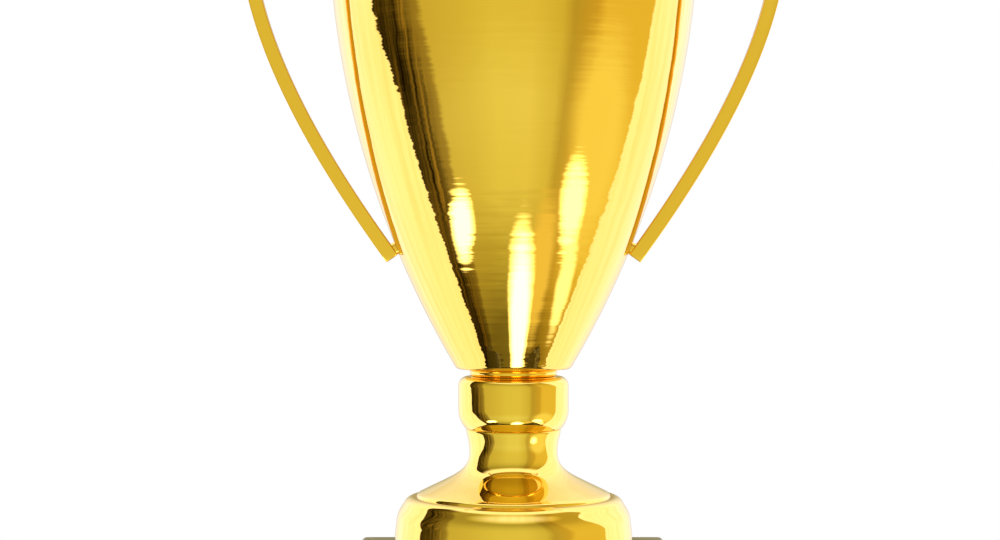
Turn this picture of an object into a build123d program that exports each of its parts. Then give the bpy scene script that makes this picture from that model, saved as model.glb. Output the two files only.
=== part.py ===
from build123d import *
import math
import os

# Two-handled cup trophy, in millimetres.
# The origin is on the trophy's own axis, at the underside of the felt pads that it stands on.
# +Z is up, the handles reach out along +X and -X, and the front of the stone faces -Y.

os.makedirs("parts", exist_ok=True)

# ---- driving dimensions ----

# Stone block and its pads
FELT_THICK = 1.5
FELT_R = 8.0
FELT_INSET = 16.0
STONE_SIDE = 140.0
STONE_HEIGHT = 40.5
STONE_CORNER_R = 3.0
STONE_EDGE_R = 2.0
STONE_LOW_CHAMFER = 1.0
COUNTERBORE_R = 13.0
COUNTERBORE_DEPTH = 14.0
ROD_HOLE_R = 3.3

# Blank name plate on the stone's front
PLATE_WIDTH = 78.0
PLATE_HEIGHT = 18.0
PLATE_THICK = 0.6
PLATE_CORNER_R = 1.5
PLATE_CHAMFER = 0.25

# Bell foot: a spun shell from the stone up to the collar
FOOT_WALL = 1.2
FOOT_BOTTOM_R = 52.2
FOOT_BODY_R = 50.9
FOOT_STEP_R = 41.6
FOOT_STEP_RISE = 69.4
FOOT_FLARE_Z = 70.7
FOOT_SHOULDER_R = 46.9
FOOT_SHOULDER_Z = 66.8
FOOT_SIDE_R = 50.2
FOOT_SIDE_Z = 58.9
FOOT_LOW_Z = 52.0
FOOT_INNER_Z = 55.0
FOOT_CURL_RISE = 2.4
FOOT_CURL_R = 1.25
WAIST_R = 18.9
WAIST_Z = 88.6
WAIST_LEAN = 8.8
FOOT_TOP_R = 20.3
FOOT_TOP_Z = 98.4

# Stem collar: a short drum
COLLAR_R = 23.7
COLLAR_BOTTOM_R = 20.7
COLLAR_TOP_Z = 120.8
COLLAR_SHOULDER_R = 4.0
COLLAR_TAPER_Z = 106.8
COLLAR_INNER_Z = 101.6
COLLAR_WALL = 1.2

# Turned plugs inside the collar and the foot
COLLAR_PLUG_R = 18.8
FOOT_PLUG_R = 15.5
FOOT_PLUG_BASE_R = 30.0
FOOT_PLUG_BASE_HEIGHT = 6.0

# Neck ring between the collar and the cup
NECK_R = 17.3
NECK_BULGE = 1.4

# Cup: a tall spun bowl with a curled rim
CUP_BOTTOM_Z = 124.0
CUP_WALL = 1.0
CUP_SIDE_WALL = 1.15
CUP_FLOOR_R = 23.2
CUP_LOW_R = 26.2
CUP_LOW_Z = 127.0
CUP_LOW_ANGLE = 30.2
CUP_LOW_REACH = 81.4
CUP_HIGH_REACH = 50.3
CUP_WIDE_R = 79.3
CUP_WIDE_Z = 318.0
RIM_Z = 336.5
RIM_LIP_R = 80.8
RIM_CURL_R = 1.6
RIM_CURL_OUT = 0.4

# Handles: a rectangular strip bent in one plane
STRIP_WIDTH = 6.0
STRIP_DEPTH = 5.0
STRIP_EDGE_R = 0.5
HANDLE_LOW_X = 52.1
HANDLE_LOW_Z = 171.4
HANDLE_LOW_ANGLE = 36.0
HANDLE_LOW_REACH = 70.2
HANDLE_HIGH_REACH = 41.6
ARCH_RISE = 37.0
ARCH_END_RISE = 47.0
ARCH_END_LEAN = 3.5
HANDLE_WIDE_X = 115.2
HANDLE_WIDE_Z = 316.0
HANDLE_END_X = 84.5
HANDLE_END_Z = 311.0
LUG_LENGTH = 5.4
LUG_DEPTH = 4.0
LUG_CORNER_R = 1.9
LUG_GAP = 0.03
LOW_LUG_REACH = 3.0
HIGH_LUG_REACH = 4.0
LOW_LUG_Z = 175.8
HIGH_LUG_Z = 314.6

# Fasteners
ROD_R = 3.0
ROD_BOTTOM_Z = 6.0
ROD_TOP_Z = 136.0
NUT_FLATS = 10.0
NUT_HEIGHT = 5.0
NUT_BORE_R = 3.05
NUT_CHAMFER = 0.7
ROD_CHAMFER = 0.6
CUP_GASKET_R = 11.0
CUP_GASKET_THICK = 0.8
CUP_WASHER_R = 9.0
BASE_WASHER_R = 11.0
WASHER_THICK = 1.6
SCREW_R = 1.25
SCREW_HOLE_R = 1.35
SCREW_REACH = 4.2
SCREW_HEAD_R = 2.4
SCREW_HEAD_HEIGHT = 1.6
SCREW_HEAD_ROUND = 0.7
SCREW_WASHER_R = 3.2
SCREW_WASHER_THICK = 0.6
SEAT_GAP = 0.16

STONE_BOTTOM = FELT_THICK
STONE_TOP = STONE_BOTTOM + STONE_HEIGHT


# ---- helpers ----

def spun(*outline):
    """A body of revolution about Z, from an outline given as (radius, height) edges."""
    return revolve(Plane.XZ * make_face(Curve() + list(outline)), Axis.Z)


def disc(radius, low, high, bore=0.0):
    """A flat round disc between two heights, with an optional centre hole."""
    body = Pos(0, 0, low) * Cylinder(radius, high - low, align=(Align.CENTER, Align.CENTER, Align.MIN))
    if bore:
        body -= Pos(0, 0, low) * Cylinder(bore, high - low, align=(Align.CENTER, Align.CENTER, Align.MIN))
    return body


def hex_nut(low):
    """A chamfered hexagon nut standing on the height given."""
    across_corners = NUT_FLATS / math.cos(math.radians(30)) / 2
    body = Pos(0, 0, low) * extrude(RegularPolygon(across_corners, 6), NUT_HEIGHT)
    cone = chamfer(disc(across_corners, low, low + NUT_HEIGHT).edges().filter_by(GeomType.CIRCLE), NUT_CHAMFER)
    return (body & cone) - disc(NUT_BORE_R, low, low + NUT_HEIGHT)


# ---- cup ----

def cup_side(inset=0.0):
    """The long curve of the cup's side, moved towards the axis by the inset."""
    steep = math.radians(CUP_LOW_ANGLE)
    reach = CUP_LOW_REACH
    return Bezier(
        (CUP_LOW_R - inset, CUP_LOW_Z),
        (CUP_LOW_R - inset + reach * math.sin(steep), CUP_LOW_Z + reach * math.cos(steep)),
        (CUP_WIDE_R - inset, CUP_WIDE_Z - CUP_HIGH_REACH),
        (CUP_WIDE_R - inset, CUP_WIDE_Z),
    )


def cup_flare(inset=0.0):
    """The slight outward sweep below the rim."""
    return Bezier(
        (CUP_WIDE_R - inset, CUP_WIDE_Z),
        (CUP_WIDE_R - inset, CUP_WIDE_Z + 8),
        (RIM_LIP_R - inset, RIM_Z - 6),
        (RIM_LIP_R - inset, RIM_Z),
    )


def cup_wall_frame(height):
    """The point of the cup's side at a height, in the XZ plane, and the outward normal there."""
    side = cup_side()
    low = 0.0
    high = 1.0
    for _ in range(40):
        middle = (low + high) / 2
        if (side @ middle).Y < height:
            low = middle
        else:
            high = middle
    along = side % low
    point = side @ low
    return Vector(point.X, 0, point.Y), Vector(along.Y, 0, -along.X)


def side_mirrored(solid, side):
    """The right-hand solid, or its mirror image on the left."""
    return solid if side > 0 else mirror(solid, Plane.YZ)


def along_wall_normal(height, radius, start, stop):
    """A cylinder along the wall's normal, from one distance off the outer face to another."""
    point, normal = cup_wall_frame(height)
    plane = Plane(origin=point + normal * start, z_dir=normal)
    return plane * Cylinder(radius, stop - start, align=(Align.CENTER, Align.CENTER, Align.MIN))


def inner_face(height):
    """The distance of the cup's inner face along the wall's normal, less the washer's seat gap."""
    normal = cup_wall_frame(height)[1]
    return -CUP_SIDE_WALL * normal.X - SEAT_GAP


def cup_bowl():
    wall = CUP_SIDE_WALL
    inner_low = CUP_LOW_R - wall
    floor = CUP_BOTTOM_Z + CUP_WALL
    outer_corner = Bezier(
        (CUP_FLOOR_R, CUP_BOTTOM_Z),
        (CUP_FLOOR_R + 1.7, CUP_BOTTOM_Z),
        (CUP_LOW_R - 0.7, CUP_LOW_Z - 1.2),
        (CUP_LOW_R, CUP_LOW_Z),
    )
    inner_corner = Bezier(
        (CUP_FLOOR_R - 0.7, floor),
        (CUP_FLOOR_R + 0.9, floor),
        (inner_low - 0.5, CUP_LOW_Z - 0.9),
        (inner_low, CUP_LOW_Z),
    )
    bowl = spun(
        Line((ROD_HOLE_R, CUP_BOTTOM_Z), (CUP_FLOOR_R, CUP_BOTTOM_Z)),
        outer_corner,
        cup_side(),
        cup_flare(),
        Line((RIM_LIP_R, RIM_Z), (RIM_LIP_R - wall, RIM_Z)),
        cup_flare(wall),
        cup_side(wall),
        inner_corner,
        Line((CUP_FLOOR_R - 0.7, floor), (ROD_HOLE_R, floor)),
        Line((ROD_HOLE_R, floor), (ROD_HOLE_R, CUP_BOTTOM_Z)),
    )
    curl = Pos(0, 0, RIM_Z) * Torus(RIM_LIP_R + RIM_CURL_OUT, RIM_CURL_R)
    bowl += curl
    for side in (1, -1):
        for height in (LOW_LUG_Z, HIGH_LUG_Z):
            bowl -= side_mirrored(along_wall_normal(height, SCREW_HOLE_R, -4, 2), side)
    return bowl


# ---- handles ----

def handle_path():
    """The strip's centreline: the long lower limb, then the arch back to the cup."""
    lean = math.radians(HANDLE_LOW_ANGLE)
    reach = HANDLE_LOW_REACH
    limb = Bezier(
        (HANDLE_LOW_X, 0, HANDLE_LOW_Z),
        (HANDLE_LOW_X + reach * math.sin(lean), 0, HANDLE_LOW_Z + reach * math.cos(lean)),
        (HANDLE_WIDE_X, 0, HANDLE_WIDE_Z - HANDLE_HIGH_REACH),
        (HANDLE_WIDE_X, 0, HANDLE_WIDE_Z),
    )
    arch = Bezier(
        (HANDLE_WIDE_X, 0, HANDLE_WIDE_Z),
        (HANDLE_WIDE_X, 0, HANDLE_WIDE_Z + ARCH_RISE),
        (HANDLE_END_X + ARCH_END_LEAN, 0, HANDLE_END_Z + ARCH_END_RISE),
        (HANDLE_END_X, 0, HANDLE_END_Z),
    )
    return Wire([limb.edge(), arch.edge()])


def handle_lug(height):
    """The short cast post that fills the gap between the strip and the cup's wall."""
    point, normal = cup_wall_frame(height)
    plane = Plane(origin=point + normal * LUG_GAP, x_dir=(0, 1, 0), z_dir=normal)
    section = RectangleRounded(LUG_DEPTH, LUG_LENGTH, LUG_CORNER_R)
    return plane * extrude(section, LOW_LUG_REACH if height == LOW_LUG_Z else HIGH_LUG_REACH)


def handle(side):
    path = handle_path()
    start = Plane(origin=path @ 0, x_dir=(0, 1, 0), z_dir=path % 0)
    strip = sweep(start * RectangleRounded(STRIP_DEPTH, STRIP_WIDTH, STRIP_EDGE_R), path=path)
    body = strip
    for height in (LOW_LUG_Z, HIGH_LUG_Z):
        body += handle_lug(height)
        body -= along_wall_normal(height, SCREW_R + 0.03, -1, SCREW_REACH)
    return side_mirrored(body, side)


def screws(side):
    """The two screws of one handle: heads inside the cup, shanks out into the lugs."""
    pair = []
    for height in (LOW_LUG_Z, HIGH_LUG_Z):
        seat = inner_face(height) - SCREW_WASHER_THICK
        head = along_wall_normal(height, SCREW_HEAD_R, seat - SCREW_HEAD_HEIGHT, seat)
        head = fillet(head.edges().filter_by(GeomType.CIRCLE).sort_by_distance((0, 0, 250))[0], SCREW_HEAD_ROUND)
        shank = along_wall_normal(height, SCREW_R, seat - 0.1, SCREW_REACH - 0.3)
        pair.append(side_mirrored(head + shank, side))
    return pair


def screw_washers(side):
    """The two flat washers under one handle's screw heads."""
    pair = []
    for height in (LOW_LUG_Z, HIGH_LUG_Z):
        top = inner_face(height)
        ring = along_wall_normal(height, SCREW_WASHER_R, top - SCREW_WASHER_THICK, top)
        ring -= along_wall_normal(height, SCREW_HOLE_R, top - SCREW_WASHER_THICK, top)
        pair.append(side_mirrored(ring, side))
    return pair


# ---- neck, collar and foot ----

def neck_ring():
    middle = (COLLAR_TOP_Z + CUP_BOTTOM_Z) / 2
    return spun(
        Line((ROD_HOLE_R, COLLAR_TOP_Z), (NECK_R, COLLAR_TOP_Z)),
        ThreePointArc((NECK_R, COLLAR_TOP_Z), (NECK_R + NECK_BULGE, middle), (NECK_R, CUP_BOTTOM_Z)),
        Line((NECK_R, CUP_BOTTOM_Z), (ROD_HOLE_R, CUP_BOTTOM_Z)),
        Line((ROD_HOLE_R, CUP_BOTTOM_Z), (ROD_HOLE_R, COLLAR_TOP_Z)),
    )


def stem_collar():
    shoulder = COLLAR_SHOULDER_R
    drum_r = COLLAR_R
    taper_z = COLLAR_TAPER_Z
    wall = COLLAR_WALL
    inner_top = COLLAR_TOP_Z - wall
    return spun(
        Line((ROD_HOLE_R, COLLAR_TOP_Z), (drum_r - shoulder, COLLAR_TOP_Z)),
        RadiusArc((drum_r - shoulder, COLLAR_TOP_Z), (drum_r, COLLAR_TOP_Z - shoulder), shoulder),
        Line((drum_r, COLLAR_TOP_Z - shoulder), (drum_r, taper_z)),
        Bezier((drum_r, taper_z), (drum_r, 102.4), (21.9, 100.2), (COLLAR_BOTTOM_R, FOOT_TOP_Z)),
        Line((COLLAR_BOTTOM_R, FOOT_TOP_Z), (COLLAR_BOTTOM_R - wall, FOOT_TOP_Z)),
        Line((COLLAR_BOTTOM_R - wall, FOOT_TOP_Z), (COLLAR_BOTTOM_R - wall, COLLAR_INNER_Z)),
        Line((COLLAR_BOTTOM_R - wall, COLLAR_INNER_Z), (drum_r - wall, taper_z)),
        Line((drum_r - wall, taper_z), (drum_r - wall, COLLAR_TOP_Z - shoulder)),
        Line((drum_r - wall, COLLAR_TOP_Z - shoulder), (drum_r - shoulder, inner_top)),
        Line((drum_r - shoulder, inner_top), (ROD_HOLE_R, inner_top)),
        Line((ROD_HOLE_R, inner_top), (ROD_HOLE_R, COLLAR_TOP_Z)),
    )


def collar_plug():
    """The turned plug that carries the clamp load through the collar."""
    return disc(COLLAR_PLUG_R, FOOT_TOP_Z, COLLAR_TOP_Z - COLLAR_WALL, ROD_HOLE_R)


def bell_foot():
    """The spun foot: waist, flared skirt, narrow step, rounded shoulder, side and bottom curl."""
    wall = FOOT_WALL
    top = FOOT_TOP_Z
    curl = STONE_TOP + FOOT_CURL_RISE
    lip = curl - 1.2
    waist = (WAIST_R, WAIST_Z)
    flare = (FOOT_STEP_R - 0.8, FOOT_FLARE_Z)
    step = (FOOT_STEP_R, FOOT_STEP_RISE)
    shoulder = (FOOT_SHOULDER_R, FOOT_SHOULDER_Z)
    side = (FOOT_SIDE_R, FOOT_SIDE_Z)
    low = (FOOT_BODY_R, FOOT_LOW_Z)
    inner_low = (FOOT_BODY_R - wall, FOOT_INNER_Z)
    inner_step = (FOOT_STEP_R - wall, FOOT_STEP_RISE - wall)
    inner_waist = (WAIST_R - wall, WAIST_Z)
    return spun(
        Line((ROD_HOLE_R, top), (FOOT_TOP_R - 1.0, top)),
        RadiusArc((FOOT_TOP_R - 1.0, top), (FOOT_TOP_R, top - 1.0), 1.0),
        Bezier((FOOT_TOP_R, top - 1.0), (19.8, 94.4), (WAIST_R, 92.4), waist),
        Bezier(waist, (WAIST_R, WAIST_Z - WAIST_LEAN), (25.2, 78.6), flare),
        Bezier(flare, (FOOT_STEP_R - 0.4, 70.4), (FOOT_STEP_R, 70.1), step),
        Bezier(step, (44.3, 69.6), (46.0, 68.6), shoulder),
        Bezier(shoulder, (48.3, 64.4), (50.0, 62.6), side),
        Bezier(side, (50.4, 56.5), (FOOT_BODY_R, 54.5), low),
        Bezier(low, (FOOT_BODY_R + 0.1, 47.0), (FOOT_BODY_R, 45.6), (FOOT_BODY_R, curl)),
        RadiusArc((FOOT_BODY_R, curl), (FOOT_BOTTOM_R, lip), FOOT_CURL_R),
        Line((FOOT_BOTTOM_R, lip), (FOOT_BOTTOM_R, STONE_TOP)),
        Line((FOOT_BOTTOM_R, STONE_TOP), (FOOT_BODY_R - wall, STONE_TOP)),
        Line((FOOT_BODY_R - wall, STONE_TOP), inner_low),
        Bezier(inner_low, (49.2, 63.0), (45.8, FOOT_STEP_RISE - wall), inner_step),
        Bezier(inner_step, (25.0, 76.6), (WAIST_R - wall, 78.4), inner_waist),
        Line(inner_waist, (WAIST_R - wall, top - wall)),
        Line((WAIST_R - wall, top - wall), (ROD_HOLE_R, top - wall)),
        Line((ROD_HOLE_R, top - wall), (ROD_HOLE_R, top)),
    )


def foot_plug():
    """The turned column inside the foot, widened at the bottom to stand on the stone."""
    column = disc(FOOT_PLUG_R, STONE_TOP, FOOT_TOP_Z - FOOT_WALL, ROD_HOLE_R)
    return column + disc(FOOT_PLUG_BASE_R, STONE_TOP, STONE_TOP + FOOT_PLUG_BASE_HEIGHT, ROD_HOLE_R)


# ---- stone, plate and pads ----

def marble_base():
    stone = Pos(0, 0, STONE_BOTTOM) * extrude(
        RectangleRounded(STONE_SIDE, STONE_SIDE, STONE_CORNER_R), STONE_HEIGHT)
    stone = fillet(stone.edges().group_by(Axis.Z)[-1], STONE_EDGE_R)
    stone = chamfer(stone.edges().group_by(Axis.Z)[0], STONE_LOW_CHAMFER)
    stone -= disc(ROD_HOLE_R, STONE_BOTTOM, STONE_TOP)
    stone -= disc(COUNTERBORE_R, STONE_BOTTOM, STONE_BOTTOM + COUNTERBORE_DEPTH)
    return stone


def name_plate():
    middle_z = STONE_BOTTOM + STONE_HEIGHT / 2
    front = Plane(origin=(0, -STONE_SIDE / 2, middle_z), x_dir=(1, 0, 0), z_dir=(0, -1, 0))
    plate = front * extrude(RectangleRounded(PLATE_WIDTH, PLATE_HEIGHT, PLATE_CORNER_R), PLATE_THICK)
    return chamfer(plate.edges().group_by(Axis.Y)[0], PLATE_CHAMFER)


def base_feet():
    place = STONE_SIDE / 2 - FELT_INSET
    pads = []
    for x in (-place, place):
        for y in (-place, place):
            pads.append(Pos(x, y, 0) * disc(FELT_R, 0, FELT_THICK))
    return pads


# ---- clamp along the axis ----

CUP_FLOOR_Z = CUP_BOTTOM_Z + CUP_WALL
CUP_WASHER_Z = CUP_FLOOR_Z + CUP_GASKET_THICK
CUP_NUT_Z = CUP_WASHER_Z + WASHER_THICK
COUNTERBORE_Z = STONE_BOTTOM + COUNTERBORE_DEPTH
BASE_WASHER_Z = COUNTERBORE_Z - WASHER_THICK


def tie_rod():
    rod = disc(ROD_R, ROD_BOTTOM_Z, ROD_TOP_Z)
    return chamfer(rod.edges().filter_by(GeomType.CIRCLE), ROD_CHAMFER)


PIECES = {
    "cup_bowl": cup_bowl(),
    "right_handle": handle(1),
    "left_handle": handle(-1),
    "right_handle_screws": screws(1),
    "left_handle_screws": screws(-1),
    "right_screw_washers": screw_washers(1),
    "left_screw_washers": screw_washers(-1),
    "neck_ring": neck_ring(),
    "stem_collar": stem_collar(),
    "collar_plug": collar_plug(),
    "bell_foot": bell_foot(),
    "foot_plug": foot_plug(),
    "marble_base": marble_base(),
    "name_plate": name_plate(),
    "base_feet": base_feet(),
    "tie_rod": tie_rod(),
    "cup_gasket": disc(CUP_GASKET_R, CUP_FLOOR_Z, CUP_WASHER_Z, ROD_HOLE_R),
    "cup_washer": disc(CUP_WASHER_R, CUP_WASHER_Z, CUP_NUT_Z, ROD_HOLE_R),
    "cup_nut": hex_nut(CUP_NUT_Z),
    "base_washer": disc(BASE_WASHER_R, BASE_WASHER_Z, COUNTERBORE_Z, ROD_HOLE_R),
    "base_nut": hex_nut(BASE_WASHER_Z - NUT_HEIGHT),
}

for name, piece in PIECES.items():
    if isinstance(piece, list):
        piece = Compound([solid for item in piece for solid in item.solids()])
    export_step(piece, f"parts/{name}.step")
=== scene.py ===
import math

import bmesh
import bpy
from mathutils import Matrix, Vector


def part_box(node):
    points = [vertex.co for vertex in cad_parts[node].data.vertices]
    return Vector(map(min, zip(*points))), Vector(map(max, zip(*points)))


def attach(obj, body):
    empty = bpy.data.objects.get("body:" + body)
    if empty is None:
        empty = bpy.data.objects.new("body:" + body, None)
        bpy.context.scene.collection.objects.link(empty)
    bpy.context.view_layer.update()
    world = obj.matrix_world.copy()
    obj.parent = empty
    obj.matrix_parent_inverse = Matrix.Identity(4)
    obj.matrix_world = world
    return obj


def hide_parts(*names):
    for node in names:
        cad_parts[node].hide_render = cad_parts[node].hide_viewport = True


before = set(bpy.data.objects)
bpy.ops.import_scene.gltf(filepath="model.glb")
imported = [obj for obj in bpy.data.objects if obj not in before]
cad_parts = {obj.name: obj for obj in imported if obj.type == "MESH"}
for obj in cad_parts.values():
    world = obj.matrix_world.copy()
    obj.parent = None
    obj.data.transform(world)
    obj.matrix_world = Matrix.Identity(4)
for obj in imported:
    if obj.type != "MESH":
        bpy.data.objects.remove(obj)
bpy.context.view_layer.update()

MM = 0.001
TURN = 2 * math.pi

# ---- places read from the frame, in millimetres ----


def low_mm(node):
    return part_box(node)[0] / MM


def high_mm(node):
    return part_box(node)[1] / MM


STONE_BOTTOM = low_mm("marble_base").z
STONE_TOP = high_mm("marble_base").z
STONE_SIDE = high_mm("marble_base").x - low_mm("marble_base").x
FOOT_TOP = high_mm("bell_foot").z
COLLAR_TOP = high_mm("stem_collar").z
CUP_BOTTOM = low_mm("cup_bowl").z
RIM_TOP = high_mm("cup_bowl").z
ROD_BOTTOM = low_mm("tie_rod").z
ROD_TOP = high_mm("tie_rod").z
ROD_HOLE_R = 3.3

# ---- the driving sizes of the cup, handles and stone, in millimetres ----
# A reach is how far a curve's control point lies from the curve's end.

CUP_WALL = 1.15
CUP_FLOOR = 1.0
CUP_FLOOR_R = 23.2
CUP_LOW_R = 26.2
CUP_LOW_Z = CUP_BOTTOM + 3.0
CUP_LOW_ANGLE = math.radians(30.2)
CUP_LOW_REACH = 81.4
CUP_WIDE_R = 79.3
CUP_WIDE_Z = 318.0
CUP_WIDE_REACH = 50.3
FLARE_LOW_REACH = 8.0
FLARE_TOP_REACH = 7.0
RIM_CURL_R = 1.6
RIM_CURL_CENTRE = (high_mm("cup_bowl").x - RIM_CURL_R, RIM_TOP - RIM_CURL_R)

STRIP_WIDTH = 6.0
STRIP_DEPTH = 5.0
STRIP_EDGE_R = 0.5
STRIP_END_R = 0.45
HANDLE_LOW = (52.1, 171.4)
HANDLE_LOW_ANGLE = math.radians(36.0)
HANDLE_LOW_REACH = 70.2
HANDLE_WIDE = (115.2, 316.0)
HANDLE_WIDE_DOWN_REACH = 41.6
HANDLE_WIDE_UP_REACH = 37.0
HANDLE_END = (84.5, 311.0)
HANDLE_END_OUT_REACH = 3.5
HANDLE_END_UP_REACH = 47.0

LUG_HEIGHTS = (175.8, 314.6)
LUG_LENGTHS = (3.0, 4.0)
LUG_WIDTH = 5.4
LUG_DEPTH = 4.0
LUG_CORNER_R = 1.9
LUG_GAP = 0.03

STONE_CORNER = 3.0
STONE_TOP_EDGE = 2.0
STONE_LOW_EDGE = 1.0
COUNTERBORE_R = 13.0
COUNTERBORE_DEPTH = 14.0
COUNTERBORE_CHAMFER = 0.6


# ---- curves ----

def bezier(a, b, c, d, steps):
    """Points of a cubic curve in the plane, both ends included."""
    points = []
    for i in range(steps + 1):
        t = i / steps
        s = 1 - t
        weights = (s ** 3, 3 * s * s * t, 3 * s * t * t, t ** 3)
        points.append(tuple(sum(w * p[k] for w, p in zip(weights, (a, b, c, d))) for k in (0, 1)))
    return points


def arc(centre, radius, start, stop, steps):
    """Points of a circular arc in the plane, angles in degrees."""
    points = []
    for i in range(steps + 1):
        angle = math.radians(start + (stop - start) * i / steps)
        points.append((centre[0] + radius * math.cos(angle), centre[1] + radius * math.sin(angle)))
    return points


def joined(*stretches):
    """One outline from several stretches, without the doubled points between them."""
    outline = []
    for stretch in stretches:
        for point in stretch:
            if not outline or math.dist(point, outline[-1]) > 1e-4:
                outline.append(point)
    return outline


def cup_side(inset, steps):
    """The cup's long side, moved inwards by an inset."""
    low_r = CUP_LOW_R - inset
    wide_r = CUP_WIDE_R - inset
    return bezier(
        (low_r, CUP_LOW_Z),
        (low_r + CUP_LOW_REACH * math.sin(CUP_LOW_ANGLE),
         CUP_LOW_Z + CUP_LOW_REACH * math.cos(CUP_LOW_ANGLE)),
        (wide_r, CUP_WIDE_Z - CUP_WIDE_REACH),
        (wide_r, CUP_WIDE_Z),
        steps,
    )


def cup_flare(inset, top_r, top_z, steps):
    """The slight flare from the cup's widest place to its rim, moved inwards by an inset."""
    wide_r = CUP_WIDE_R - inset
    return bezier(
        (wide_r, CUP_WIDE_Z),
        (wide_r, CUP_WIDE_Z + FLARE_LOW_REACH),
        (top_r, top_z - FLARE_TOP_REACH),
        (top_r, top_z),
        steps,
    )


# ---- finishing a piece ----

def finish_piece(name, bm, material, replaces=(), sharp=35, smooth=True):
    """Turns a bmesh in millimetres into a piece that rides on the trophy's one body."""
    bmesh.ops.scale(bm, vec=(MM, MM, MM), verts=bm.verts)
    for face in bm.faces:
        face.smooth = smooth
    mesh = bpy.data.meshes.new(name)
    bm.to_mesh(mesh)
    bm.free()
    if smooth:
        mesh.set_sharp_from_angle(angle=math.radians(sharp))
    piece = bpy.data.objects.new(name, mesh)
    bpy.context.scene.collection.objects.link(piece)
    mesh.materials.append(material)
    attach(piece, "root")
    if replaces:
        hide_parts(*replaces)
    return piece


def spun(outline, steps=192, closed=True):
    """A bmesh turned about Z from an outline of (radius, height) points."""
    bm = bmesh.new()
    verts = [bm.verts.new((r, 0, z)) for r, z in outline]
    edges = [bm.edges.new(pair) for pair in zip(verts, verts[1:])]
    if closed:
        edges.append(bm.edges.new((verts[-1], verts[0])))
    bmesh.ops.spin(bm, geom=verts + edges, cent=(0, 0, 0), axis=(0, 0, 1), angle=TURN,
                   steps=steps, use_merge=True, use_duplicate=False)
    bmesh.ops.remove_doubles(bm, verts=bm.verts, dist=1e-5)
    bmesh.ops.recalc_face_normals(bm, faces=bm.faces)
    return bm


def cut_away(target, tool_bms):
    """Cuts closed tool shapes, in millimetres, out of a piece, and leaves the result in its mesh."""
    for number, bm in enumerate(tool_bms):
        bmesh.ops.scale(bm, vec=(MM, MM, MM), verts=bm.verts)
        bmesh.ops.recalc_face_normals(bm, faces=bm.faces)
        mesh = bpy.data.meshes.new(f"cutter_{number}")
        bm.to_mesh(mesh)
        bm.free()
        tool = bpy.data.objects.new(f"cutter_{number}", mesh)
        bpy.context.scene.collection.objects.link(tool)
        cut = target.modifiers.new("cut", "BOOLEAN")
        cut.operation = "DIFFERENCE"
        cut.solver = "EXACT"
        cut.object = tool
        done = bpy.data.meshes.new_from_object(
            target.evaluated_get(bpy.context.evaluated_depsgraph_get()))
        target.modifiers.remove(cut)
        old = target.data
        target.data = done
        done.name = old.name
        bpy.data.meshes.remove(old)
        bpy.data.objects.remove(tool)
        bpy.data.meshes.remove(mesh)


# ---- node trees ----

class Wiring:
    """A short hand for building a node tree."""

    def __init__(self, tree):
        self.tree = tree

    def add(self, kind, **inputs):
        node = self.tree.nodes.new(kind)
        for key, value in inputs.items():
            node.inputs[key.replace("_", " ")].default_value = value
        return node

    def link(self, output, socket):
        self.tree.links.new(output, socket)

    def fill(self, socket, value):
        """Gives a socket a number, a colour or another node's output."""
        if isinstance(value, tuple):
            socket.default_value = (*value, 1)
        elif isinstance(value, (int, float)):
            socket.default_value = value
        else:
            self.link(value, socket)

    def math(self, operation, a, b=None, clamp=False):
        node = self.add("ShaderNodeMath")
        node.operation = operation
        node.use_clamp = clamp
        self.fill(node.inputs[0], a)
        if b is not None:
            self.fill(node.inputs[1], b)
        return node.outputs[0]

    def mix(self, factor, a, b, blend="MIX"):
        """Two colours mixed, or blended another way."""
        node = self.add("ShaderNodeMix")
        node.data_type = "RGBA"
        node.blend_type = blend
        self.fill(node.inputs["Factor"], factor)
        self.fill(node.inputs[6], a)
        self.fill(node.inputs[7], b)
        return node.outputs[2]

    def ramp(self, factor, stops):
        """A colour ramp from (position, colour) stops."""
        node = self.add("ShaderNodeValToRGB")
        points = node.color_ramp.elements
        while len(points) < len(stops):
            points.new(1.0)
        for point, (position, colour) in zip(points, stops):
            point.position = position
            point.color = (*colour, 1)
        self.link(factor, node.inputs["Fac"])
        return node.outputs["Color"]

    def smooth(self, value, start, stop):
        """0 before start and 1 after stop, turning smoothly between them."""
        node = self.add("ShaderNodeMapRange", From_Min=min(start, stop), From_Max=max(start, stop))
        node.interpolation_type = "SMOOTHSTEP"
        if start > stop:
            node.inputs["To Min"].default_value = 1.0
            node.inputs["To Max"].default_value = 0.0
        self.link(value, node.inputs["Value"])
        return node.outputs["Result"]

    def spread(self, factor, low, high):
        """A 0 to 1 factor spread over another range."""
        node = self.add("ShaderNodeMapRange", To_Min=low, To_Max=high)
        self.link(factor, node.inputs["Value"])
        return node.outputs["Result"]

    def noise(self, vector, scale=1.0, detail=3.0, roughness=0.5, distortion=0.0):
        node = self.add("ShaderNodeTexNoise", Scale=scale, Detail=detail, Roughness=roughness,
                        Distortion=distortion)
        self.link(vector, node.inputs["Vector"])
        return node.outputs["Fac"]


# ---- materials ----

class Nodes(Wiring):
    """One material's node tree."""

    def __init__(self, name):
        self.material = bpy.data.materials.new(name)
        self.material.use_nodes = True
        super().__init__(self.material.node_tree)
        self.shader = self.tree.nodes["Principled BSDF"]
        self.place = self.add("ShaderNodeTexCoord").outputs["Object"]

    def stretched(self, scale):
        """Object coordinates scaled along each axis, per metre."""
        mapping = self.add("ShaderNodeMapping", Scale=scale)
        self.link(self.place, mapping.inputs["Vector"])
        return mapping.outputs["Vector"]

    def bump(self, height, distance, below=None):
        node = self.add("ShaderNodeBump", Strength=1.0, Distance=distance)
        self.link(height, node.inputs["Height"])
        if below is not None:
            self.link(below, node.inputs["Normal"])
        return node.outputs["Normal"]


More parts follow.
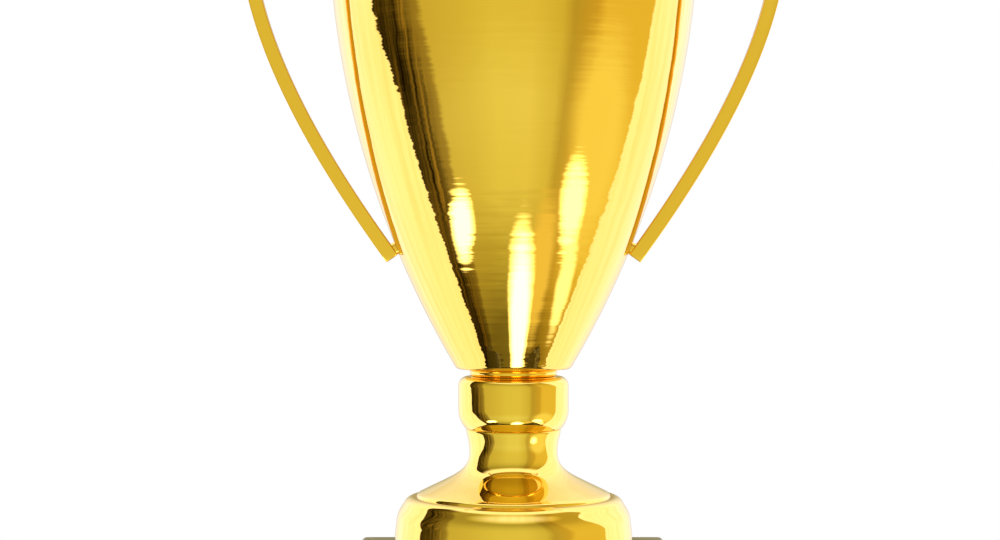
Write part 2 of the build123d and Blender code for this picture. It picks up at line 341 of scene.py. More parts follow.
def gold(name, light, deep, ring_depth, ring_pitch, polish, satin_inside=False):
    """Polished gold plate: a little tone drift, spinning rings and a faint haze of fingerprints."""
    m = Nodes(name)
    m.shader.inputs["Metallic"].default_value = 1.0
    drift = m.noise(m.stretched((14, 14, 9)), detail=2.0)
    colour = m.ramp(drift, [(0.3, deep), (0.7, light)])
    haze = m.noise(m.stretched((60, 60, 60)), detail=4.0, roughness=0.6)
    roughness = m.spread(haze, polish * 0.6, polish * 1.5)
    if satin_inside:
        # The bowl's inside is left as spun: paler and brushed, where the outside is polished.
        inside = m.add("ShaderNodeAttribute")
        inside.attribute_name = "inside"
        colour = m.mix(inside.outputs["Fac"], colour, (0.98, 0.82, 0.46))
        roughness = m.math("ADD", roughness, m.math("MULTIPLY", inside.outputs["Fac"], 0.26))
    m.link(colour, m.shader.inputs["Base Color"])
    m.link(roughness, m.shader.inputs["Roughness"])
    rings = m.noise(m.stretched((16, 16, 1 / ring_pitch)), detail=2.0, roughness=0.5)
    swells = m.noise(m.stretched((48, 48, 60)), detail=2.0)
    normal = m.bump(rings, ring_depth)
    normal = m.bump(swells, ring_depth * 2.0, normal)
    m.link(normal, m.shader.inputs["Normal"])
    return m.material


def steel(name):
    """Zinc plate on turned steel: fine turning lines and slightly uneven brightness."""
    m = Nodes(name)
    m.shader.inputs["Metallic"].default_value = 1.0
    blotch = m.noise(m.stretched((180, 180, 180)), detail=3.0)
    m.link(m.ramp(blotch, [(0.3, (0.46, 0.46, 0.45)), (0.7, (0.64, 0.64, 0.62))]),
           m.shader.inputs["Base Color"])
    m.link(m.spread(blotch, 0.22, 0.36), m.shader.inputs["Roughness"])
    lines = m.noise(m.stretched((200, 200, 6000)), detail=1.0)
    m.link(m.bump(lines, 0.000004), m.shader.inputs["Normal"])
    return m.material


def marble(name):
    """Polished near-black marble with fine pale veins and cloudy green-grey depth."""
    m = Nodes(name)
    cloud = m.noise(m.stretched((16, 16, 16)), detail=6.0, roughness=0.62, distortion=0.6)
    body = m.ramp(cloud, [(0.30, (0.020, 0.019, 0.007)), (0.55, (0.060, 0.050, 0.016)),
                          (0.78, (0.150, 0.120, 0.042))])
    wander = m.noise(m.stretched((11, 13, 12)), detail=5.0, roughness=0.55, distortion=1.3)
    thin = m.math("ABSOLUTE", m.math("SUBTRACT", wander, 0.5))
    vein = m.ramp(thin, [(0.0, (1, 1, 1)), (0.012, (0.25, 0.25, 0.25)), (0.035, (0, 0, 0))])
    broken = m.noise(m.stretched((30, 30, 30)), detail=3.0)
    strength = m.math("MULTIPLY", vein, m.ramp(broken, [(0.42, (0, 0, 0)), (0.66, (0.8, 0.8, 0.8))]))
    m.link(m.mix(strength, body, (0.42, 0.40, 0.34)), m.shader.inputs["Base Color"])
    m.link(m.spread(cloud, 0.05, 0.11), m.shader.inputs["Roughness"])
    m.shader.inputs["Specular IOR Level"].default_value = 0.28
    ripple = m.noise(m.stretched((70, 70, 70)), detail=2.0)
    m.link(m.bump(ripple, 0.00002), m.shader.inputs["Normal"])
    return m.material


def satin_brass(name):
    """The bare name plate: straight-brushed brass under a thin lacquer."""
    m = Nodes(name)
    m.shader.inputs["Metallic"].default_value = 1.0
    grain = m.noise(m.stretched((40, 3000, 3000)), detail=3.0, roughness=0.7)
    m.link(m.ramp(grain, [(0.3, (0.72, 0.50, 0.16)), (0.7, (0.86, 0.63, 0.24))]),
           m.shader.inputs["Base Color"])
    m.link(m.spread(grain, 0.20, 0.34), m.shader.inputs["Roughness"])
    m.shader.inputs["Coat Weight"].default_value = 0.3
    m.shader.inputs["Coat Roughness"].default_value = 0.08
    m.link(m.bump(grain, 0.000012), m.shader.inputs["Normal"])
    return m.material


def felt(name):
    """Pressed dark felt: matted fibres in two sizes and a soft sheen."""
    m = Nodes(name)
    fibres = m.noise(m.stretched((1800, 1800, 1200)), detail=5.0, roughness=0.7, distortion=0.8)
    m.link(m.ramp(fibres, [(0.3, (0.010, 0.020, 0.013)), (0.7, (0.035, 0.060, 0.042))]),
           m.shader.inputs["Base Color"])
    m.shader.inputs["Roughness"].default_value = 0.95
    m.shader.inputs["Sheen Weight"].default_value = 0.35
    m.link(m.bump(fibres, 0.0003), m.shader.inputs["Normal"])
    return m.material


def moulded(name, light, dark, roughness, depth):
    """Plain moulded plastic or rubber with a fine spark-eroded grain."""
    m = Nodes(name)
    grain = m.noise(m.stretched((900, 900, 900)), detail=3.0, roughness=0.6)
    m.link(m.ramp(grain, [(0.3, dark), (0.7, light)]), m.shader.inputs["Base Color"])
    m.link(m.spread(grain, roughness - 0.06, roughness + 0.06), m.shader.inputs["Roughness"])
    m.link(m.bump(grain, depth), m.shader.inputs["Normal"])
    return m.material


CUP_GOLD = gold("cup_gold", (0.94, 0.63, 0.13), (0.91, 0.60, 0.115), 0.00008, 0.0042, 0.035,
                satin_inside=True)
HANDLE_GOLD = gold("handle_gold", (0.94, 0.61, 0.12), (0.90, 0.57, 0.10), 0.00001, 0.006, 0.06)
STEM_GOLD = gold("stem_gold", (0.95, 0.67, 0.15), (0.92, 0.64, 0.135), 0.000018, 0.0030, 0.03)
STEEL = steel("zinc_steel")
MARBLE = marble("dark_marble")
PLATE = satin_brass("satin_brass")
FELT = felt("green_felt")
RUBBER = moulded("soft_rubber", (0.035, 0.035, 0.036), (0.020, 0.020, 0.021), 0.62, 0.00002)
PLASTIC = moulded("natural_plastic", (0.62, 0.60, 0.54), (0.54, 0.52, 0.46), 0.45, 0.00002)


# ---- the cup ----

def make_cup():
    """A thin spun bowl: rounded bottom edge, long side, slight flare, and a rolled rim."""
    floor = CUP_BOTTOM + CUP_FLOOR
    disc = (ROD_HOLE_R, 9.0, 16.0)
    inner_low = CUP_LOW_R - CUP_WALL
    roll_r, roll_z = RIM_CURL_CENTRE
    outer_edge = bezier((CUP_FLOOR_R, CUP_BOTTOM), (CUP_FLOOR_R + 1.7, CUP_BOTTOM),
                        (CUP_LOW_R - 0.7, CUP_LOW_Z - 1.2), (CUP_LOW_R, CUP_LOW_Z), 10)
    inner_edge = bezier((inner_low, CUP_LOW_Z), (inner_low - 0.5, CUP_LOW_Z - 0.9),
                        (CUP_FLOOR_R + 0.9, floor), (CUP_FLOOR_R - 0.7, floor), 10)
    outline = joined(
        [(r, CUP_BOTTOM) for r in disc],
        outer_edge,
        cup_side(0.0, 90),
        cup_flare(0.0, roll_r - 0.55, roll_z - RIM_CURL_R + 0.25, 10),
        arc(RIM_CURL_CENTRE, RIM_CURL_R, 262, 540, 26),
        cup_flare(CUP_WALL, roll_r - RIM_CURL_R, roll_z - 0.4, 10)[::-1],
        cup_side(CUP_WALL, 90)[::-1],
        inner_edge,
        [(r, floor) for r in disc[::-1]],
    )
    bm = spun(outline, steps=224)
    mark = bm.verts.layers.float.new("inside")
    side = cup_side(0.0, 200)
    for vert in bm.verts:
        radius = math.hypot(vert.co.x, vert.co.y)
        height = vert.co.z
        outer = next((r for r, z in side if z >= height), CUP_WIDE_R)
        on_floor = height > floor - 0.1 and radius < CUP_FLOOR_R - 0.5
        on_side = CUP_LOW_Z + 0.5 < height < roll_z - 1 and radius < outer - CUP_WALL / 2
        vert[mark] = 1.0 if on_floor or on_side else 0.0
    return finish_piece("spun_cup", bm, CUP_GOLD, ["cup_bowl"], sharp=50)


# ---- the handles ----

def wall_point(height):
    """The cup wall's outer point at a height, and its outward normal, in the XZ plane."""
    side = cup_side(0.0, 400)
    for a, b in zip(side, side[1:]):
        if a[1] <= height <= b[1]:
            share = (height - a[1]) / (b[1] - a[1])
            point = Vector((a[0] + share * (b[0] - a[0]), 0, height))
            along = Vector((b[0] - a[0], 0, b[1] - a[1])).normalized()
            return point, Vector((along.z, 0, -along.x))


def handle_path():
    """Points of the strip's centreline: the long lower limb, then the arch to the cup."""
    wide_r, wide_z = HANDLE_WIDE
    end_r, end_z = HANDLE_END
    limb = bezier(
        HANDLE_LOW,
        (HANDLE_LOW[0] + HANDLE_LOW_REACH * math.sin(HANDLE_LOW_ANGLE),
         HANDLE_LOW[1] + HANDLE_LOW_REACH * math.cos(HANDLE_LOW_ANGLE)),
        (wide_r, wide_z - HANDLE_WIDE_DOWN_REACH),
        HANDLE_WIDE, 60)
    arch = bezier(
        HANDLE_WIDE,
        (wide_r, wide_z + HANDLE_WIDE_UP_REACH),
        (end_r + HANDLE_END_OUT_REACH, end_z + HANDLE_END_UP_REACH),
        HANDLE_END, 70)
    return joined(limb, arch)


def upright(origin, direction):
    """The placing of a section at a point of the strip, square to its direction."""
    z = direction.normalized()
    y = Vector((0, 1, 0))
    x = y.cross(z)
    return Matrix((
        (x.x, y.x, z.x, origin.x),
        (x.y, y.y, z.y, origin.y),
        (x.z, y.z, z.z, origin.z),
        (0, 0, 0, 1),
    ))


def rounded_section(bm, width, depth, corner, segments=3):
    """One flat face with rounded corners in the XY plane."""
    made = bmesh.ops.create_grid(bm, x_segments=1, y_segments=1, size=0.5)
    bmesh.ops.scale(bm, vec=(width, depth, 1), verts=made["verts"])
    bmesh.ops.bevel(bm, geom=made["verts"], offset=corner, segments=segments, profile=0.5,
                    affect="VERTICES", material=-1)
    return bm.faces[:]


def swept(sections, width, depth, corner):
    """A bar whose rounded section is carried through a list of placings."""
    bm = bmesh.new()
    faces = rounded_section(bm, width, depth, corner)
    bmesh.ops.transform(bm, matrix=sections[0], verts=bm.verts)
    for before, after in zip(sections, sections[1:]):
        made = bmesh.ops.extrude_face_region(bm, geom=faces)["geom"]
        verts = [v for v in made if isinstance(v, bmesh.types.BMVert)]
        faces = [f for f in made if isinstance(f, bmesh.types.BMFace)]
        bmesh.ops.transform(bm, matrix=after @ before.inverted(), verts=verts)
    bmesh.ops.recalc_face_normals(bm, faces=bm.faces)
    return bm


def round_ends(bm, offset):
    """Rounds the rims of a bar's two end faces."""
    ends = [f for f in bm.faces if len(f.verts) > 4]
    rims = list({e for f in ends for e in f.edges})
    bmesh.ops.bevel(bm, geom=rims, offset=offset, segments=3, profile=0.5, affect="EDGES", material=-1)


def joined_bmesh(parts):
    """Several bmeshes in one."""
    whole = bmesh.new()
    for part in parts:
        mesh = bpy.data.meshes.new("part")
        part.to_mesh(mesh)
        part.free()
        whole.from_mesh(mesh)
        bpy.data.meshes.remove(mesh)
    return whole


def make_handle(side):
    """The bent strip with its two lugs."""
    points = [Vector((x, 0, z)) for x, z in handle_path()]
    placings = []
    for i, point in enumerate(points):
        before = points[max(i - 1, 0)]
        after = points[min(i + 1, len(points) - 1)]
        placings.append(upright(point, after - before))
    strip = swept(placings, STRIP_WIDTH, STRIP_DEPTH, STRIP_EDGE_R)
    round_ends(strip, STRIP_END_R)
    parts = [strip]
    for height, length in zip(LUG_HEIGHTS, LUG_LENGTHS):
        point, normal = wall_point(height)
        lug = [upright(point + normal * away, normal) for away in (LUG_GAP, length)]
        parts.append(swept(lug, LUG_WIDTH, LUG_DEPTH, LUG_CORNER_R))
    bm = joined_bmesh(parts)
    name = "right" if side > 0 else "left"
    if side < 0:
        bmesh.ops.scale(bm, vec=(-1, 1, 1), verts=bm.verts)
        bmesh.ops.recalc_face_normals(bm, faces=bm.faces)
    return finish_piece(f"{name}_strip_handle", bm, HANDLE_GOLD, [f"{name}_handle"],
                        sharp=40)


# ---- neck, collar and foot ----

def make_neck():
    """The turned bead between the collar and the cup."""
    seat_r = 17.1
    bead_r = 17.3
    bulge = 1.4
    middle = (COLLAR_TOP + CUP_BOTTOM) / 2
    half = (CUP_BOTTOM - COLLAR_TOP) / 2
    outline = joined(
        [(ROD_HOLE_R, COLLAR_TOP), (seat_r, COLLAR_TOP)],
        [(bead_r + bulge * math.cos(a), middle + half * math.sin(a))
         for a in (math.radians(d) for d in range(-84, 85, 8))],
        [(seat_r, CUP_BOTTOM), (ROD_HOLE_R, CUP_BOTTOM)],
    )
    return finish_piece("neck_bead", spun(outline, 128), STEM_GOLD, ["neck_ring"])


def make_collar():
    """A short drum: rounded shoulder, straight side, and a taper to the foot's top."""
    wall = 1.2
    drum = 23.7
    shoulder = 4.0
    shoulder_z = COLLAR_TOP - shoulder
    straight = (113.0, 110.0)
    taper = 106.8
    bottom = 20.7
    inner_bottom = bottom - wall
    inner_drum = drum - wall
    outline = joined(
        [(ROD_HOLE_R, COLLAR_TOP), (12.0, COLLAR_TOP)],
        arc((drum - shoulder, shoulder_z), shoulder, 90, 0, 14),
        [(drum, height) for height in straight],
        bezier((drum, taper), (drum, 102.4), (21.9, 100.2), (bottom, FOOT_TOP + 0.25), 16),
        [(bottom - 0.3, FOOT_TOP), (inner_bottom, FOOT_TOP), (inner_bottom, 101.6)],
        [(inner_drum, taper), (inner_drum, shoulder_z)],
        [(drum - shoulder, COLLAR_TOP - wall), (ROD_HOLE_R, COLLAR_TOP - wall)],
    )
    return finish_piece("drum_collar", spun(outline, 160), STEM_GOLD, ["stem_collar"])


def make_foot():
    """The bell foot: lip, waist, flared skirt, soft step, shoulder, side and a rolled bottom edge."""
    wall = 1.2
    lip = 1.0
    lip_r = 19.3
    lip_z = FOOT_TOP - lip
    waist = (18.9, 88.6)
    skirt_end = (40.8, 70.7)
    step = (41.6, 69.4)
    shoulder = (46.9, 66.8)
    side_top = (50.2, 58.9)
    body = 50.9
    side_z = 52.0
    bottom = 52.2
    curl_z = STONE_TOP + 2.4
    inner_waist = (waist[0] - wall, waist[1])
    inner_step = (step[0] - wall, step[1] - wall)
    inner_side = (body - wall, 55.0)
    outline = joined(
        [(ROD_HOLE_R, FOOT_TOP), (12.0, FOOT_TOP)],
        arc((lip_r, lip_z), lip, 90, 0, 6),
        bezier((lip_r + lip, lip_z), (19.8, 94.4), (18.9, 92.4), waist, 14),
        bezier(waist, (18.9, 79.8), (25.2, 78.6), skirt_end, 32),
        bezier(skirt_end, (41.2, 70.45), (41.5, 70.1), step, 5),
        bezier(step, (44.3, 69.6), (46.0, 68.6), shoulder, 14),
        bezier(shoulder, (48.3, 64.4), (50.0, 62.6), side_top, 16),
        bezier(side_top, (50.4, 56.5), (body, 54.5), (body, side_z), 10),
        bezier((body, side_z), (body + 0.1, 47.0), (body, 45.6), (body, curl_z), 8),
        bezier((body, curl_z), (body + 0.9, curl_z), (bottom, curl_z - 0.4), (bottom, curl_z - 1.2), 6),
        [(bottom, STONE_TOP + 0.5), (bottom - 0.4, STONE_TOP)],
        [(body - wall, STONE_TOP)],
        bezier(inner_side, (49.2, 63.0), (45.8, inner_step[1]), inner_step, 10),
        bezier(inner_step, (25.0, 76.6), (inner_waist[0], 78.4), inner_waist, 12),
        [(inner_waist[0], FOOT_TOP - wall), (ROD_HOLE_R, FOOT_TOP - wall)],
    )
    return finish_piece("bell_shell", spun(outline, 224), STEM_GOLD, ["bell_foot"])


# ---- the stone, its plate and its pads ----

def bevelled(bm, edges, size, segments):
    """Rounds chosen edges of a block."""
    bmesh.ops.bevel(bm, geom=edges, offset=size, segments=segments, profile=0.5, affect="EDGES",
                    material=-1)


def make_stone():
    """A square block with softly rounded edges, drilled and counterbored from below."""
    bm = bmesh.new()
    bmesh.ops.create_cube(bm, size=1.0)
    height = STONE_TOP - STONE_BOTTOM
    bmesh.ops.scale(bm, vec=(STONE_SIDE, STONE_SIDE, height), verts=bm.verts)
    bmesh.ops.translate(bm, vec=(0, 0, (STONE_TOP + STONE_BOTTOM) / 2), verts=bm.verts)
    bevelled(bm, [e for e in bm.edges if abs(e.verts[0].co.z - e.verts[1].co.z) > 1], STONE_CORNER, 6)
    bevelled(bm, [e for e in bm.edges if min(v.co.z for v in e.verts) > STONE_TOP - 0.01],
             STONE_TOP_EDGE, 6)
    bevelled(bm, [e for e in bm.edges if max(v.co.z for v in e.verts) < STONE_BOTTOM + 0.01],
             STONE_LOW_EDGE, 2)
    piece = finish_piece("stone_block", bm, MARBLE, ["marble_base"])
    ceiling = STONE_BOTTOM + COUNTERBORE_DEPTH
    # The drill starts and ends 2 mm outside the block; its mouth is wider there by the chamfer's slope.
    past = 2.0
    hole = spun([(0, STONE_BOTTOM - past), (COUNTERBORE_R + COUNTERBORE_CHAMFER + past, STONE_BOTTOM - past),
                 (COUNTERBORE_R, STONE_BOTTOM + COUNTERBORE_CHAMFER), (COUNTERBORE_R, ceiling),
                 (ROD_HOLE_R, ceiling), (ROD_HOLE_R, STONE_TOP + past), (0, STONE_TOP + past)],
                64, closed=False)
    cut_away(piece, [hole])
    for face in piece.data.polygons:
        face.use_smooth = True
    piece.data.set_sharp_from_angle(angle=math.radians(25))
    return piece


def make_plate():
    """The blank name plate: bevelled edge and one fine engraved border line."""
    corner = 1.5
    chamfer = 0.2
    groove = 0.12
    low, high = low_mm("name_plate"), high_mm("name_plate")
    width, height, thick = high.x - low.x, high.z - low.z, high.y - low.y
    bm = bmesh.new()
    base = rounded_section(bm, width, height, corner, 5)
    made = bmesh.ops.extrude_face_region(bm, geom=base)["geom"]
    front = [f for f in made if isinstance(f, bmesh.types.BMFace)]
    bmesh.ops.translate(bm, vec=(0, 0, thick - chamfer),
                        verts=[v for v in made if isinstance(v, bmesh.types.BMVert)])
    # The stages from the edge inwards: chamfer, margin, groove down, groove floor, groove up.
    for inset, rise in ((0.25, chamfer), (0.55, 0.0), (0.08, -groove), (0.22, 0.0), (0.08, groove)):
        bmesh.ops.inset_region(bm, faces=front, thickness=inset, depth=rise, use_even_offset=True)
    place = Matrix(((1, 0, 0, 0), (0, 0, -1, high.y), (0, 1, 0, (low.z + high.z) / 2), (0, 0, 0, 1)))
    bmesh.ops.transform(bm, matrix=place, verts=bm.verts)
    bmesh.ops.recalc_face_normals(bm, faces=bm.faces)
    return finish_piece("blank_name_plate", bm, PLATE, ["name_plate"], sharp=20)


def make_felt_pads():
    """Four round felt pads with softened rims."""
    thick = high_mm("base_feet").z
    radius = 8.0
    low_rim = 0.45
    top_rim = 0.2
    reach = high_mm("base_feet").x - radius
    outline = joined(
        [(0, 0)], [(radius * s, 0) for s in (0.3, 0.6, 0.85)],
        arc((radius - low_rim, low_rim), low_rim, -90, 0, 4),
        arc((radius - top_rim, thick - top_rim), top_rim, 0, 90, 3),
        [(0, thick)],
    )
    pads = []
    for x in (-reach, reach):
        for y in (-reach, reach):
            pad = spun(outline, 48, closed=False)
            bmesh.ops.translate(pad, vec=(x, y, 0), verts=pad.verts)
            pads.append(pad)
    return finish_piece("felt_pads", joined_bmesh(pads), FELT, ["base_feet"])


# ---- the rod and the screws ----

def make_rod():
    """Fully threaded rod: one tooth turned up a helix, with chamfered ends."""
    pitch = 1.0
    crest = 2.98
    root = 2.42
    core_r = 2.5
    tip_r = 2.0
    chamfer = 0.8
    steps = 32
    bm = bmesh.new()
    low = ROD_BOTTOM + chamfer
    turns = int((ROD_TOP - ROD_BOTTOM - 2 * chamfer) / pitch)
    tooth = [(root, 0.0), (root, 0.12), (crest, 0.44), (crest, 0.56), (root, 0.88), (root, 1.0)]
    verts = [bm.verts.new((r, 0, low - pitch / 2 + z)) for r, z in tooth]
    edges = [bm.edges.new(pair) for pair in zip(verts, verts[1:])]
    bmesh.ops.spin(bm, geom=verts + edges, cent=(0, 0, 0), axis=(0, 0, 1), dvec=(0, 0, pitch / steps),
                   angle=TURN * turns, steps=steps * turns, use_merge=False, use_duplicate=False)
    bmesh.ops.remove_doubles(bm, verts=bm.verts, dist=1e-4)
    bmesh.ops.recalc_face_normals(bm, faces=bm.faces)
    top = low + turns * pitch
    core = spun([(0, ROD_BOTTOM), (tip_r, ROD_BOTTOM), (core_r, low), (core_r, top), (tip_r, ROD_TOP),
                 (0, ROD_TOP)], 32, closed=False)
    return finish_piece("threaded_rod", joined_bmesh([bm, core]), STEEL, ["tie_rod"],
                        sharp=30)


def make_screws(side):
    """Two pan-head screws with cross recesses, heads inside the cup."""
    washer = 0.6
    gap = 0.16
    head_r = 2.4
    head_depth = 1.6
    shank_r = 1.25
    shank_end = 3.9
    cross = (2.4, 0.5, 1.6)
    cross_turn = 30
    name = "right" if side > 0 else "left"
    bodies = []
    crosses = []
    for height in LUG_HEIGHTS:
        point, normal = wall_point(height)
        # Heights run outwards from the cup's outer face, so the head's seat is below zero.
        seat = -(CUP_WALL * normal.x + gap + washer)
        crown = seat - head_depth
        outline = joined(
            [(0, crown)],
            bezier((0.01, crown), (1.4, crown), (head_r, seat - 1.3), (head_r, seat - 0.5), 8),
            [(head_r, seat - 0.1), (head_r - 0.1, seat), (shank_r, seat)],
            [(shank_r, shank_end - 0.2), (1.0, shank_end), (0, shank_end)],
        )
        screw = spun(outline, 40, closed=False)
        bmesh.ops.transform(screw, matrix=upright(point, normal), verts=screw.verts)
        bodies.append(screw)
        for turn in (cross_turn, cross_turn + 90):
            bar = bmesh.new()
            bmesh.ops.create_cube(bar, size=1.0)
            bmesh.ops.scale(bar, vec=cross, verts=bar.verts)
            bmesh.ops.translate(bar, vec=(0, 0, crown - 0.2), verts=bar.verts)
            bmesh.ops.rotate(bar, cent=(0, 0, 0), matrix=Matrix.Rotation(math.radians(turn), 3, "Z"),
                             verts=bar.verts)
            bmesh.ops.transform(bar, matrix=upright(point, normal), verts=bar.verts)
            crosses.append(bar)
    screws = joined_bmesh(bodies)
    if side < 0:
        for bm in [screws, *crosses]:
            bmesh.ops.scale(bm, vec=(-1, 1, 1), verts=bm.verts)
            bmesh.ops.recalc_face_normals(bm, faces=bm.faces)
    piece = finish_piece(f"{name}_pan_screws", screws, STEEL, [f"{name}_handle_screws"])
    cut_away(piece, crosses)
    for face in piece.data.polygons:
        face.use_smooth = True
    piece.data.set_sharp_from_angle(angle=math.radians(35))
    return piece


# ---- CAD pieces that keep their shape ----

def dress(node, material):
    """Gives a carried-over CAD piece its finish."""
    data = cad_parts[node].data
    data.materials.clear()
    data.materials.append(material)


# ---- stage, in metres ----

FLOOR_R = 6.0
FLOOR_FADE = (0.16, 0.36)


def stage_floor():
    """A round pale floor that fades into the white surround."""
    bm = bmesh.new()
    bmesh.ops.create_circle(bm, cap_ends=True, segments=96, radius=FLOOR_R)
    mesh = bpy.data.meshes.new("floor")
    bm.to_mesh(mesh)
    bm.free()
    floor = bpy.data.objects.new("floor", mesh)
    bpy.context.scene.collection.objects.link(floor)
    floor.visible_glossy = False
    m = Nodes("floor_paper")
    tone = m.noise(m.stretched((3, 3, 3)), detail=2.0)
    m.link(m.ramp(tone, [(0.3, (0.86, 0.86, 0.86)), (0.7, (0.89, 0.89, 0.89))]),
           m.shader.inputs["Base Color"])
    m.shader.inputs["Roughness"].default_value = 0.9
    m.shader.inputs["Specular IOR Level"].default_value = 0.0
    distance = m.add("ShaderNodeVectorMath")
    distance.operation = "LENGTH"
    m.link(m.place, distance.inputs[0])
    fade = m.smooth(distance.outputs["Value"], *FLOOR_FADE)
    seen = m.add("ShaderNodeLightPath").outputs["Is Camera Ray"]
    white = m.add("ShaderNodeEmission")
    faded = m.add("ShaderNodeMixShader")
    m.link(m.math("MULTIPLY", fade, seen), faded.inputs["Fac"])
    m.link(m.shader.outputs["BSDF"], faded.inputs[1])
    m.link(white.outputs["Emission"], faded.inputs[2])
    # Seen from underneath the paper is clear, so that the stone's underside shows.
    clear = m.add("ShaderNodeBsdfTransparent")
    one_sided = m.add("ShaderNodeMixShader")
    m.link(m.add("ShaderNodeNewGeometry").outputs["Backfacing"], one_sided.inputs["Fac"])
    m.link(faded.outputs["Shader"], one_sided.inputs[1])
    m.link(clear.outputs["BSDF"], one_sided.inputs[2])
    m.link(one_sided.outputs["Shader"], m.tree.nodes["Material Output"].inputs["Surface"])
    mesh.materials.append(m.material)


# What polished metal mirrors. Directions are in degrees: around from the front, up from level.
# Rise is the height as a share of the way from straight down to straight up.

LEFT_EDGE_SPAN = 125
LEFT_EDGE = [(rise, (share,) * 3) for rise, share in (
    (0.167, 0.584), (0.244, 0.597), (0.339, 0.648), (0.422, 0.696),
    (0.500, 0.816), (0.639, 0.880), (0.722, 0.976),
)]
RIGHT_EDGE = 100
RIGHT_EDGE_LEAN = 0.35
ROOM_CEILING = (60, 50)

# The dim room from its left edge to its right edge.
ROOM_ACROSS = [
    (0.000, (0.06, 0.045, 0.012)),
    (0.055, (0.085, 0.064, 0.018)),
    (0.100, (0.19, 0.145, 0.042)),
    (0.165, (0.36, 0.30, 0.095)),
    (0.185, (0.66, 0.62, 0.21)),
    (0.300, (0.72, 0.69, 0.24)),
    (0.420, (0.80, 0.80, 0.30)),
    (0.560, (0.82, 0.81, 0.32)),
    (0.660, (0.72, 0.68, 0.22)),
    (0.700, (0.55, 0.47, 0.13)),
    (0.780, (0.68, 0.52, 0.12)),
    (0.815, (0.88, 0.72, 0.18)),
    (1.000, (0.88, 0.73, 0.18)),
]

# The room's brightness against rise.
ROOM_HEIGHT = [
    (0.10, (0.20, 0.18, 0.14)),
    (0.19, (0.28, 0.26, 0.20)),
    (0.25, (0.72, 0.70, 0.62)),
    (0.31, (1.06, 1.10, 1.30)),
    (0.38, (1.10, 1.16, 1.55)),
    (0.45, (1.00, 1.00, 1.00)),
    (0.60, (0.96, 0.96, 0.96)),
    (0.68, (0.82, 0.82, 0.80)),
    (0.73, (0.66, 0.64, 0.60)),
    (0.77, (0.62, 0.60, 0.56)),
    (0.785, (0.92, 0.92, 0.95)),
]

# Shelves and clutter near the room's left edge.
CLUTTER = [(0.36, (0.12, 0.10, 0.06)), (0.50, (0.8, 0.8, 0.8)), (0.66, (2.4, 2.1, 1.6))]
CLUTTER_EDGE = (0.16, 0.08)

# The white sweep from straight in front to straight behind, and the soft folds in it.
SWEEP = [
    (0.0, (1.46, 1.48, 1.85)),
    (0.78, (1.44, 1.46, 1.80)),
    (0.88, (1.20, 1.19, 1.35)),
    (0.94, (0.84, 0.82, 0.70)),
    (0.975, (0.50, 0.43, 0.23)),
    (1.0, (0.47, 0.40, 0.20)),
]
FOLDS = [(0.35, (0.93, 0.91, 0.78)), (0.55, (1.02, 1.02, 1.04))]

# Soft pools of light on the table in front: around, up, half-width, half-height, colour.
POOLS = (
    (34, -46, 15, 12, (0.98, 0.84, 0.34)),
    (68, -22, 24, 15, (1.06, 1.00, 0.42)),
    (-54, -36.5, 13, 5, (7.0, 7.0, 7.0)),
    (10, -57, 18, 16, (8.0, 8.0, 8.0)),
    (57, -33, 13, 6.5, (4.0, 4.0, 4.0)),
    (70, -42, 11, 7, (2.2, 2.2, 2.2)),
)


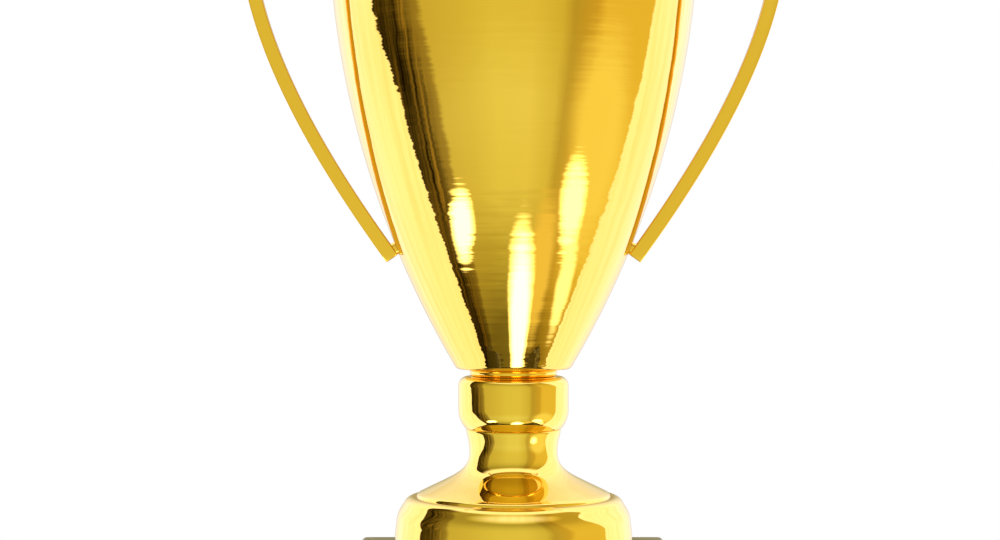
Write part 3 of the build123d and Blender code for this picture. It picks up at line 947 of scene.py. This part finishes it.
def studio_world():
    """White surround for the camera; for polished metal, a white sweep with the dim room in front of it."""
    world = bpy.data.worlds.new("studio")
    bpy.context.scene.world = world
    world.use_nodes = True
    world.node_tree.nodes.clear()
    w = Wiring(world.node_tree)

    split = w.add("ShaderNodeSeparateXYZ")
    w.link(w.add("ShaderNodeTexCoord").outputs["Generated"], split.inputs[0])
    x, y, z = split.outputs
    degrees = 180 / math.pi
    around = w.math("MULTIPLY", w.math("ARCTAN2", x, w.math("MULTIPLY", y, -1)), degrees)
    up = w.math("MULTIPLY", w.math("ARCSINE", z), degrees)
    rise = w.math("DIVIDE", w.math("ADD", up, 90), 180)

    # The room opens in front; its two edges lean, so directions are measured against them.
    left_edge = w.math("MULTIPLY", LEFT_EDGE_SPAN, w.ramp(rise, LEFT_EDGE))
    right_edge = w.math("SUBTRACT", RIGHT_EDGE, w.math("MULTIPLY", w.math("ABSOLUTE", up), RIGHT_EDGE_LEAN))
    on_left = w.math("LESS_THAN", around, 0)
    edge = w.math("ADD", w.math("MULTIPLY", on_left, left_edge),
                  w.math("MULTIPLY", w.math("SUBTRACT", 1, on_left), right_edge))
    across = w.math("DIVIDE", around, edge)
    share = w.math("ADD", w.math("MULTIPLY", across, 0.5), 0.5, clamp=True)

    def streaks(across_scale, up_scale):
        """Upright streaks: noise drawn out along the height."""
        place = w.add("ShaderNodeCombineXYZ")
        w.link(w.math("MULTIPLY", around, across_scale), place.inputs[0])
        w.link(w.math("MULTIPLY", up, up_scale), place.inputs[1])
        return w.noise(place.outputs[0], detail=5.0, roughness=0.65)

    wall = w.ramp(share, ROOM_ACROSS)
    clutter = w.ramp(streaks(0.30, 0.045), CLUTTER)
    wall = w.mix(w.smooth(share, *CLUTTER_EDGE), wall, w.mix(1.0, wall, clutter, "MULTIPLY"))
    room = w.mix(1.0, wall, w.ramp(rise, ROOM_HEIGHT), "MULTIPLY")

    sweep = w.ramp(w.math("DIVIDE", w.math("ABSOLUTE", around), 180), SWEEP)
    sweep = w.mix(1.0, sweep, w.ramp(streaks(0.16, 0.03), FOLDS), "MULTIPLY")
    in_room = w.math("MULTIPLY", w.smooth(across, -1.006, -0.994), w.smooth(across, 1.008, 0.992))
    in_room = w.math("MULTIPLY", in_room, w.smooth(up, *ROOM_CEILING))
    studio = w.mix(in_room, sweep, room)

    for pool_around, pool_up, wide, tall, colour in POOLS:
        off_x = w.math("DIVIDE", w.math("SUBTRACT", around, pool_around), wide)
        off_y = w.math("DIVIDE", w.math("SUBTRACT", up, pool_up), tall)
        away = w.math("SQRT", w.math("ADD", w.math("MULTIPLY", off_x, off_x),
                                     w.math("MULTIPLY", off_y, off_y)))
        studio = w.mix(w.smooth(away, 1.25, 0.55), studio, colour)

    path = w.add("ShaderNodeLightPath")
    mirrored = w.math("MAXIMUM", path.outputs["Is Glossy Ray"], path.outputs["Is Transmission Ray"])
    plain = w.mix(path.outputs["Is Camera Ray"], (0.80, 0.80, 0.80), (1.0, 1.0, 1.0))
    background = w.add("ShaderNodeBackground")
    w.link(w.mix(mirrored, plain, studio), background.inputs["Color"])
    w.link(background.outputs[0], w.add("ShaderNodeOutputWorld").inputs["Surface"])


LAMP_AIM = Vector((0, 0, 0.15))
CAMERA_PLACE = (-0.0058, -0.817, 0.1664)
CAMERA_LENS = 68.4


def soft_lamp(name, place, size, watts):
    """A large square lamp that looks at the cup and leaves no mark in the polish."""
    data = bpy.data.lights.new(name, "AREA")
    data.shape = "SQUARE"
    data.size = size
    data.energy = watts
    lamp = bpy.data.objects.new(name, data)
    bpy.context.scene.collection.objects.link(lamp)
    lamp.location = place
    lamp.rotation_euler = (LAMP_AIM - Vector(place)).to_track_quat("-Z", "Y").to_euler()
    lamp.visible_glossy = False


def set_camera():
    """Level camera in front, a long lens, a little left of the cup's axis."""
    data = bpy.data.cameras.new("camera")
    data.sensor_width = 36.0
    data.lens = CAMERA_LENS
    data.clip_start = 0.01
    camera = bpy.data.objects.new("camera", data)
    bpy.context.scene.collection.objects.link(camera)
    camera.location = CAMERA_PLACE
    camera.rotation_euler = (math.radians(90), 0, 0)
    bpy.context.scene.camera = camera


make_cup()
for side in (1, -1):
    make_handle(side)
    make_screws(side)
make_neck()
make_collar()
make_foot()
make_stone()
make_plate()
make_felt_pads()
make_rod()
for node in ("cup_nut", "cup_washer", "base_nut", "base_washer", "right_screw_washers", "left_screw_washers"):
    dress(node, STEEL)
for node in ("collar_plug", "foot_plug"):
    dress(node, PLASTIC)
dress("cup_gasket", RUBBER)

stage_floor()
studio_world()
soft_lamp("key_lamp", (-1.2, -1.1, 1.5), 1.2, 9)
soft_lamp("fill_lamp", (1.4, -0.9, 1.1), 1.2, 5)
set_camera()
bpy.context.scene.view_settings.view_transform = "Standard"
